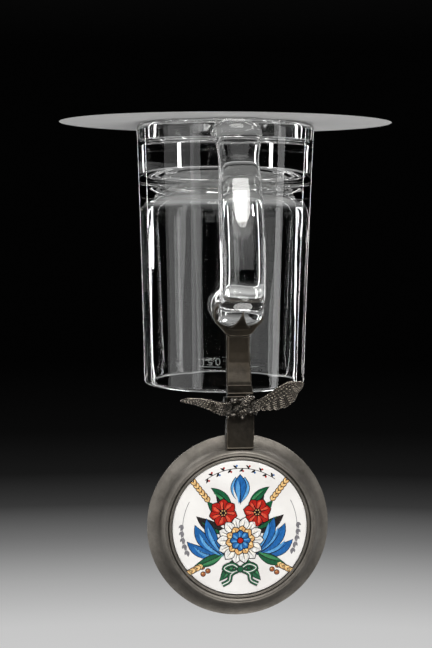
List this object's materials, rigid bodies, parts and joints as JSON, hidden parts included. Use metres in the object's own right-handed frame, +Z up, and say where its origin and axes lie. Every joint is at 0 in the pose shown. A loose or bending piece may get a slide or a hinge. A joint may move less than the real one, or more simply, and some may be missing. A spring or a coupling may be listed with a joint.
{
  "type": "lidded glass stein",
  "caption": "Half-litre clear glass stein with an applied handle and a hinged pewter lid with a porcelain inlay and an eagle thumblift.",
  "frame": {"origin": "on the table plane, under the middle of the whole outline with the lid open; the glass's own axis lies 15.1 mm to +Y of it, because the base is hollow and the handle, hinge and lid reach out to -Y", "axes": "+Z up, the handle points to -Y, the hinge pin lies along X"},
  "size_m": [0.0916, 0.1218, 0.2398],
  "materials": {
    "glass": "polished",
    "pewter": "satin",
    "dark_pewter": "satin",
    "steel": "satin",
    "porcelain": "gloss",
    "plaster": "matte"
  },
  "bodies": {
    "mug": {"glass_mug": "glass", "handle_collar": "dark_pewter", "hinge_shank": "dark_pewter", "hinge_pin": "steel", "pin_cap_left": "dark_pewter", "pin_cap_right": "dark_pewter"},
    "lid": {"lid_strap": "dark_pewter", "thumblift_eagle": "dark_pewter", "lid_ring": "pewter", "inlay_bezel": "pewter", "porcelain_inlay": "porcelain", "inlay_bed": "plaster", "lid_liner": "pewter"}
  },
  "joints": [
    {"name": "lid_hinge", "type": "hinge", "parent": "mug", "child": "lid", "pos_m": [0, -0.04311, 0.1375], "axis": [-1, 0, 0], "range_deg": [0, 92]}
  ]
}
